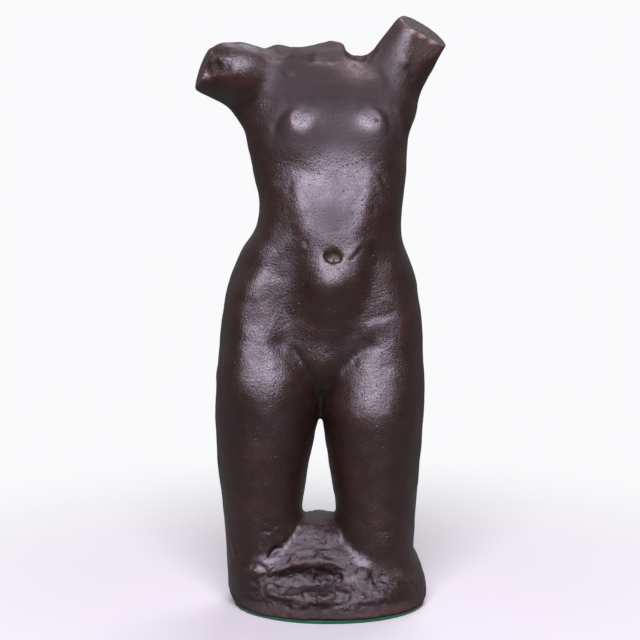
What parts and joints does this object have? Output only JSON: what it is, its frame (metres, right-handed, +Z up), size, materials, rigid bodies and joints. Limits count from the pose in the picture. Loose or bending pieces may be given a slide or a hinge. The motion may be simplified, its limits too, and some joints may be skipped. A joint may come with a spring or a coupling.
{
  "type": "torso statue",
  "caption": "Dark patinated ceramic torso of a standing woman with cut arms and a broken neck, on its own rough oval base with a felt pad.",
  "frame": {"origin": "middle of the felt pad's underside, where the statue rests", "axes": "+Z up along the figure, -Y towards what the figure faces, +X to the figure's left"},
  "size_m": [0.1904, 0.1263, 0.4514],
  "materials": {
    "patinated_ceramic": "dark brown slip, waxed to a soft uneven gloss, with dust in the recesses",
    "green_felt": "pressed wool felt"
  },
  "bodies": {
    "root": {"torso_statue": "patinated_ceramic", "felt_pad": "green_felt"}
  },
  "joints": []
}
